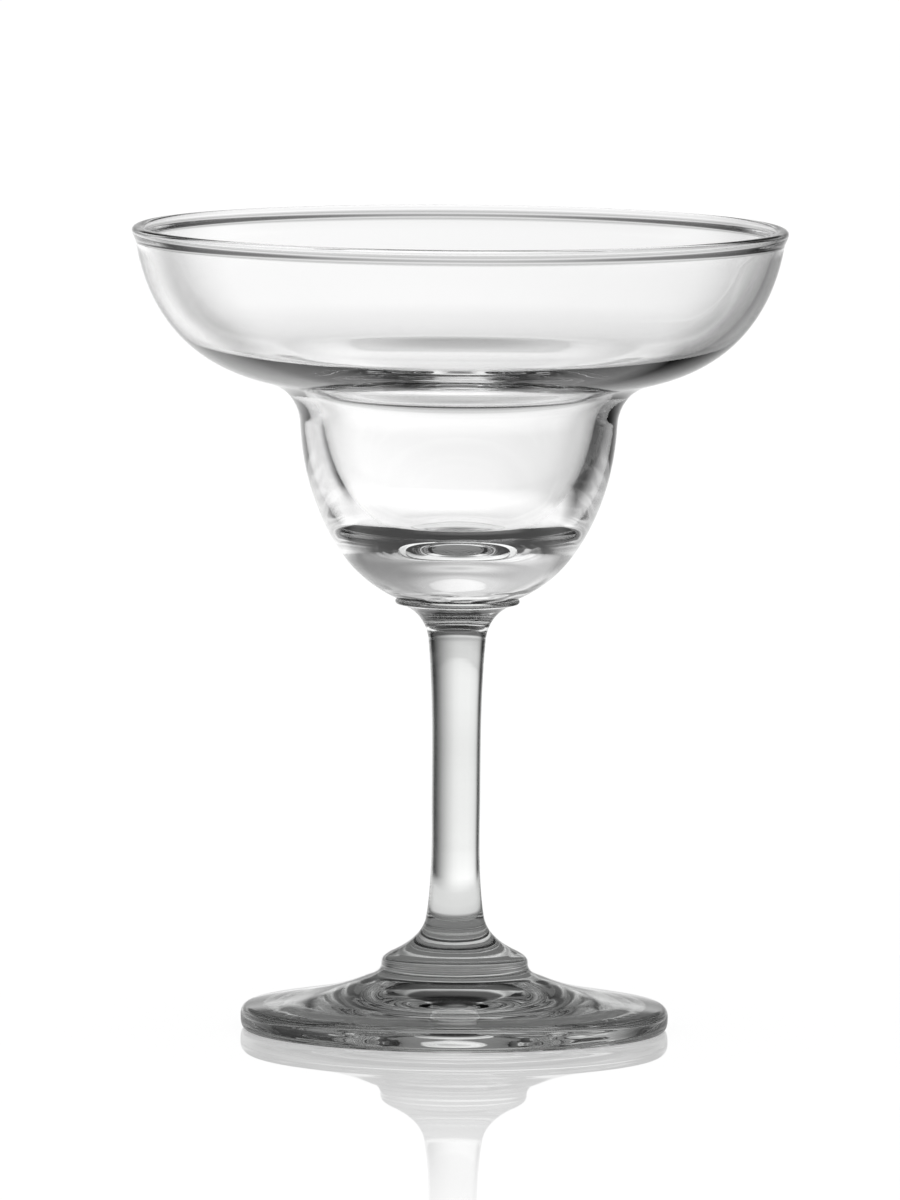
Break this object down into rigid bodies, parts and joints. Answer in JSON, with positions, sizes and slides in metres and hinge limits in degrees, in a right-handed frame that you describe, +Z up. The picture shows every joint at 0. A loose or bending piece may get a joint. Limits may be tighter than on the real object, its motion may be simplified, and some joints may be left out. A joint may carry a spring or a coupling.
{
  "type": "margarita glass",
  "caption": "Stemmed margarita glass: a wide saucer opens over a small thick-bottomed cup, on a drawn stem between two fused discs, with a pressed round foot.",
  "frame": {"origin": "centre of the foot's resting ring, on the table", "axes": "+Z up along the axis of the glass, towards the rim; X and Y are level and alike, because the glass is turned about Z"},
  "size_m": [0.11, 0.11, 0.135],
  "materials": {
    "clear_glass": "clear fire-polished soda-lime glass"
  },
  "bodies": {
    "root": {"foot": "clear_glass", "lower_disc": "clear_glass", "stem": "clear_glass", "upper_disc": "clear_glass", "bowl": "clear_glass"}
  },
  "joints": []
}
